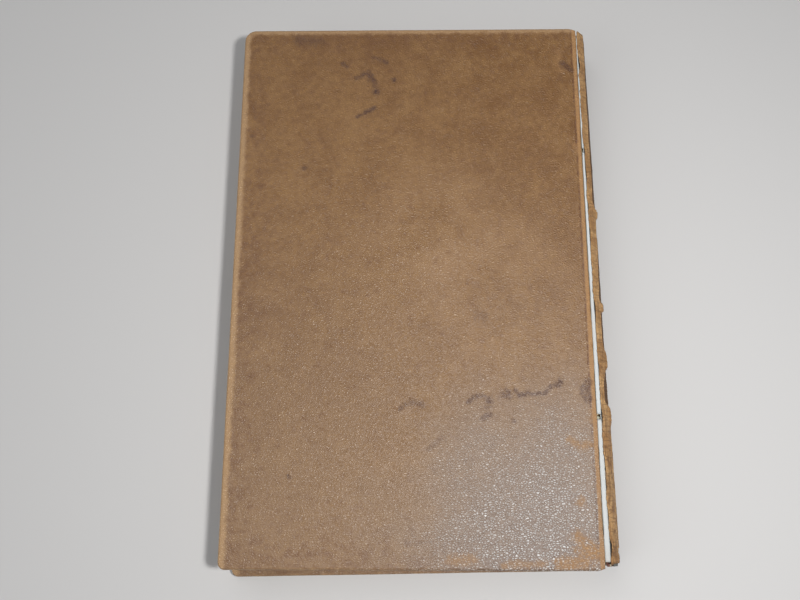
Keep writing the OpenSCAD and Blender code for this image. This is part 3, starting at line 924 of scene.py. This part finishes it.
def spine_skin():
    """The outer skin round the spine, with its torn edges, its lifted scraps and its hole."""
    bm = bmesh.new()
    torn_away = bm.verts.layers.float.new("torn away")
    around, along = 90, 400
    bmesh.ops.create_grid(bm, x_segments=around, y_segments=along, size=1)
    middle = (spine_high_y - 0.6 * MM + spine_low_y) / 2
    half = (spine_high_y - 0.6 * MM - spine_low_y) / 2
    for vert in bm.verts:
        share, y = vert.co.x, middle + vert.co.y * half
        angle = share * spine_top
        edge = max(0.0, share - 0.6) / 0.4
        torn = (0.8 + 1.9 * ragged(y, 11, 150, 600, 1700)) * 0.35 * MM
        torn += max(0.0, y - spine_high_y + 6 * MM) * 0.05
        torn += sum(math.exp(-((y / MM - spot) / reach) ** 2) * depth * MM for spot, reach, depth in bites)
        end = layer_end(y) + 0.035 * ragged(y, 19, 180, 700, 1900)
        off = min(1.0, max(0.0, (end - share) / 0.025 + 0.5))
        curl = math.exp(-((share - end - 0.02) / 0.05) ** 2)
        lift = curl * layer_curl - layer_t * off * (1 + 0.4 * ragged(y, 29 + share * 4, 60, 240))
        for spot, reach in flaps:
            near = math.exp(-((y / MM - spot) / reach) ** 4)
            lift += flap_lift * near * min(1.0, max(0.0, 1 - (share - end) / 0.25)) * (1 - off)
        lift -= 0.05 * MM * (0.7 + ragged(y, 17 + share * 3, 45, 160, 500))
        angle -= max(torn, -0.1 * MM) * edge / spine_r
        radius = spine_r + lift - 0.04 * MM
        if vert.co.y > 0.995:
            y += 0.2 * MM * ragged(angle * 0.01, 23, 300, 900)
        if vert.co.y < -0.995:
            y -= 0.2 * MM * ragged(angle * 0.01, 27, 300, 900)
        rim = max(0, 1 - (half - abs(y - middle)) / (1.2 * MM))
        radius -= 0.2 * MM * rim ** 2
        vert.co = (spine_x + radius * math.cos(angle), y, mid_z + radius * math.sin(angle))
        vert.co.z = min(max(vert.co.z, 0.06 * MM), book_t - 0.06 * MM)
        vert[torn_away] = off
    holes = []
    for face in bm.faces:
        spot = face.calc_center_median()
        apart = math.hypot((spot.y / MM - hole_y) / hole_along, (spot.z / MM - hole_z) / hole_up)
        if apart < 1 + 0.3 * noise.noise(spot * 2500):
            holes.append(face)
    bmesh.ops.delete(bm, geom=holes, context="FACES")
    bmesh.ops.recalc_face_normals(bm, faces=bm.faces[:])
    if sum(face.normal.x for face in bm.faces) < 0:
        bmesh.ops.reverse_faces(bm, faces=bm.faces[:])
    return thickened(finish_mesh("spine_skin", bm), spine_skin_t)


def spine_material():
    """Calf rubbed to orange-brown, streaked and cracked, with the bare leather in its torn places painted
    dark, partly as shade.
    """
    made, tree, shader, place = new_material("tan calf, spine", 0.6)
    shader.inputs["Specular IOR Level"].default_value = 0.35
    grain = use(tree, leather_grain, Vector=place, Cell=0.8)
    blotch = cloud(tree, place, 0.14, 6, 0.65, 0.4)
    colour = mixed(tree, between(tree, blotch, 0.35, 0.66), (0.46, 0.250, 0.095), (0.72, 0.45, 0.20))
    rust = between(tree, cloud(tree, place, 0.8, 5, 0.7, 0.4), 0.50, 0.68)
    colour = tinted(tree, colour, rust, 0.5, (0.24, 0.10, 0.04))
    # Dark streaks run down its length, thickest at the tail
    lengthwise = put(tree, "Mapping", {"Vector": place, "Scale": (1.5, 0.16, 1.5)}).outputs["Vector"]
    streak = between(tree, cloud(tree, lengthwise, 1.0, 5, 0.6, 0.5), 0.44, 0.62)
    height_up = put(tree, "SeparateXYZ", {"Vector": place}).outputs["Y"]
    tail_part = between(tree, height_up, 10.0, -70.0)
    streak = maths(tree, "MULTIPLY", streak, maths(tree, "ADD", maths(tree, "MULTIPLY", tail_part, 0.5), 0.1))
    colour = mixed(tree, streak, colour, (0.13, 0.060, 0.028))
    # Where the outer layer is torn away the leather is dark brown, with fibres; this dark on the spine's
    # lower side is partly painted shade
    bare = put(tree, "Attribute", attribute_name="torn away").outputs["Fac"]
    fibres = between(tree, cloud(tree, lengthwise, 2.0, 5, 0.7), 0.4, 0.7)
    under = mixed(tree, fibres, (0.055, 0.028, 0.015), (0.19, 0.105, 0.05))
    colour = tinted(tree, colour, bare, 0.9, under)
    across = put(tree, "Mapping", {"Vector": place, "Scale": (0.25, 1.1, 0.25)}).outputs["Vector"]
    crack = put(tree, "TexVoronoi", {"Vector": across, "Scale": 0.55}, feature="DISTANCE_TO_EDGE")
    crack = falling(tree, crack.outputs["Distance"], 0.0, 0.05)
    colour = tinted(tree, colour, crack, 0.4, (0.10, 0.05, 0.025))
    colour = tinted(tree, colour, grain["Crease"], 0.3, (0.13, 0.06, 0.03))
    tree.links.new(colour, shader.inputs["Base Color"])
    height = maths(tree, "SUBTRACT", grain["Height"], maths(tree, "MULTIPLY", crack, 1.0))
    height = maths(tree, "ADD", height, maths(tree, "MULTIPLY", rust, -0.7))
    bumped(tree, shader, height, 0.9, 0.00012)
    return made


spine_calf = spine_material()
skin = spine_skin()
skin.data.materials.append(spine_calf)
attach(skin, "text_block")
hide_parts("spine_leather")

# ---- The front joint ----
# The narrow strip of the same leather that still hinges the front cover.


def joint_strip():
    """A strip from the text block's shoulder to the front cover's slanting edge, creased along it."""
    bm = bmesh.new()
    steps = 10
    half = page_h / 2
    count = 160
    stations = [-half + 2 * half * step / count for step in range(count + 1)]
    points = [(hinge_x + (0.25 - 2 * step / steps) * MM, 0.55 * MM) for step in range(steps + 1)]

    def move(co):
        share = (hinge_x + 0.25 * MM - co.x) / (2 * MM)
        far = hinge_x - front_gap - math.sin(front_turn) * (co.y + cover_h / 2 + front_slip) - 0.05 * MM
        near = hinge_x + 0.3 * MM
        crease = 0.12 * MM * math.sin(math.pi * share) + 0.04 * MM * ragged(co.y, 41, 200, 700)
        return Vector((near + (far - near) * share, co.y, co.z + crease * 0.6))

    drawn_sheet(bm, points, stations, move)
    bmesh.ops.solidify(bm, geom=bm.faces[:], thickness=0.42 * MM)
    low = min(vert.co.z for vert in bm.verts)
    bmesh.ops.translate(bm, verts=bm.verts[:], vec=(0, 0, max(0.0, 0.06 * MM - low)))
    bmesh.ops.recalc_face_normals(bm, faces=bm.faces[:])
    return finish_mesh("front_joint_strip", bm)


strip = joint_strip()
strip.data.materials.append(spine_calf)
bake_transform(strip)
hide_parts("front_joint_leather")

# ---- The floor, the lights and the camera ----
# A plain pale floor and soft lights: a broad one overhead, and a nearer one beside the camera,
# whose reflection lies on the lower right of the cover.
bm = bmesh.new()
bmesh.ops.create_grid(bm, x_segments=1, y_segments=1, size=3)
floor = finish_mesh("floor", bm)
floor.location.z = -0.02 * MM
made, tree, shader, place = new_material("pale floor", 0.9)
shader.inputs["Base Color"].default_value = (0.60, 0.60, 0.60, 1)
floor.data.materials.append(made)


def lamp(name, place, aim, size, power, colour=(1, 1, 1)):
    """A round area light aimed at a place."""
    light = bpy.data.lights.new(name, "AREA")
    light.shape = "DISK"
    light.size = size
    light.energy = power
    light.color = colour
    made = bpy.data.objects.new(name, light)
    made.location = place
    made.rotation_euler = (Vector(aim) - Vector(place)).to_track_quat("-Z", "Y").to_euler()
    bpy.context.scene.collection.objects.link(made)


lamp("key", (0.100, -0.086, 0.361), (0.02, -0.03, 0), 0.04, 1.08, (1.0, 0.98, 0.96))
lamp("overhead", (-0.35, 0.45, 1.1), (0, 0, 0), 0.9, 3.2, (1.0, 0.98, 0.96))
lamp("left fill", (-0.7, -0.3, 0.6), (0, 0, 0.01), 0.7, 1.4)

world = bpy.data.worlds.new("studio")
world.use_nodes = True
world.node_tree.nodes["Background"].inputs["Color"].default_value = (0.86, 0.88, 0.92, 1)
world.node_tree.nodes["Background"].inputs["Strength"].default_value = 0.16
bpy.context.scene.world = world

camera_data = bpy.data.cameras.new("camera")
camera_data.sensor_width = 36
camera_data.lens = 38.25   # in millimetres, as the sensor's width is
camera_data.clip_start = 0.01
camera = bpy.data.objects.new("camera", camera_data)
camera.location = (-0.000704, -0.075802, 0.282215)
camera.rotation_euler = [math.radians(turn) for turn in (14.5884, 0.8832, -0.3381)]
bpy.context.scene.collection.objects.link(camera)
bpy.context.scene.camera = camera
bpy.context.scene.view_settings.view_transform = "Standard"
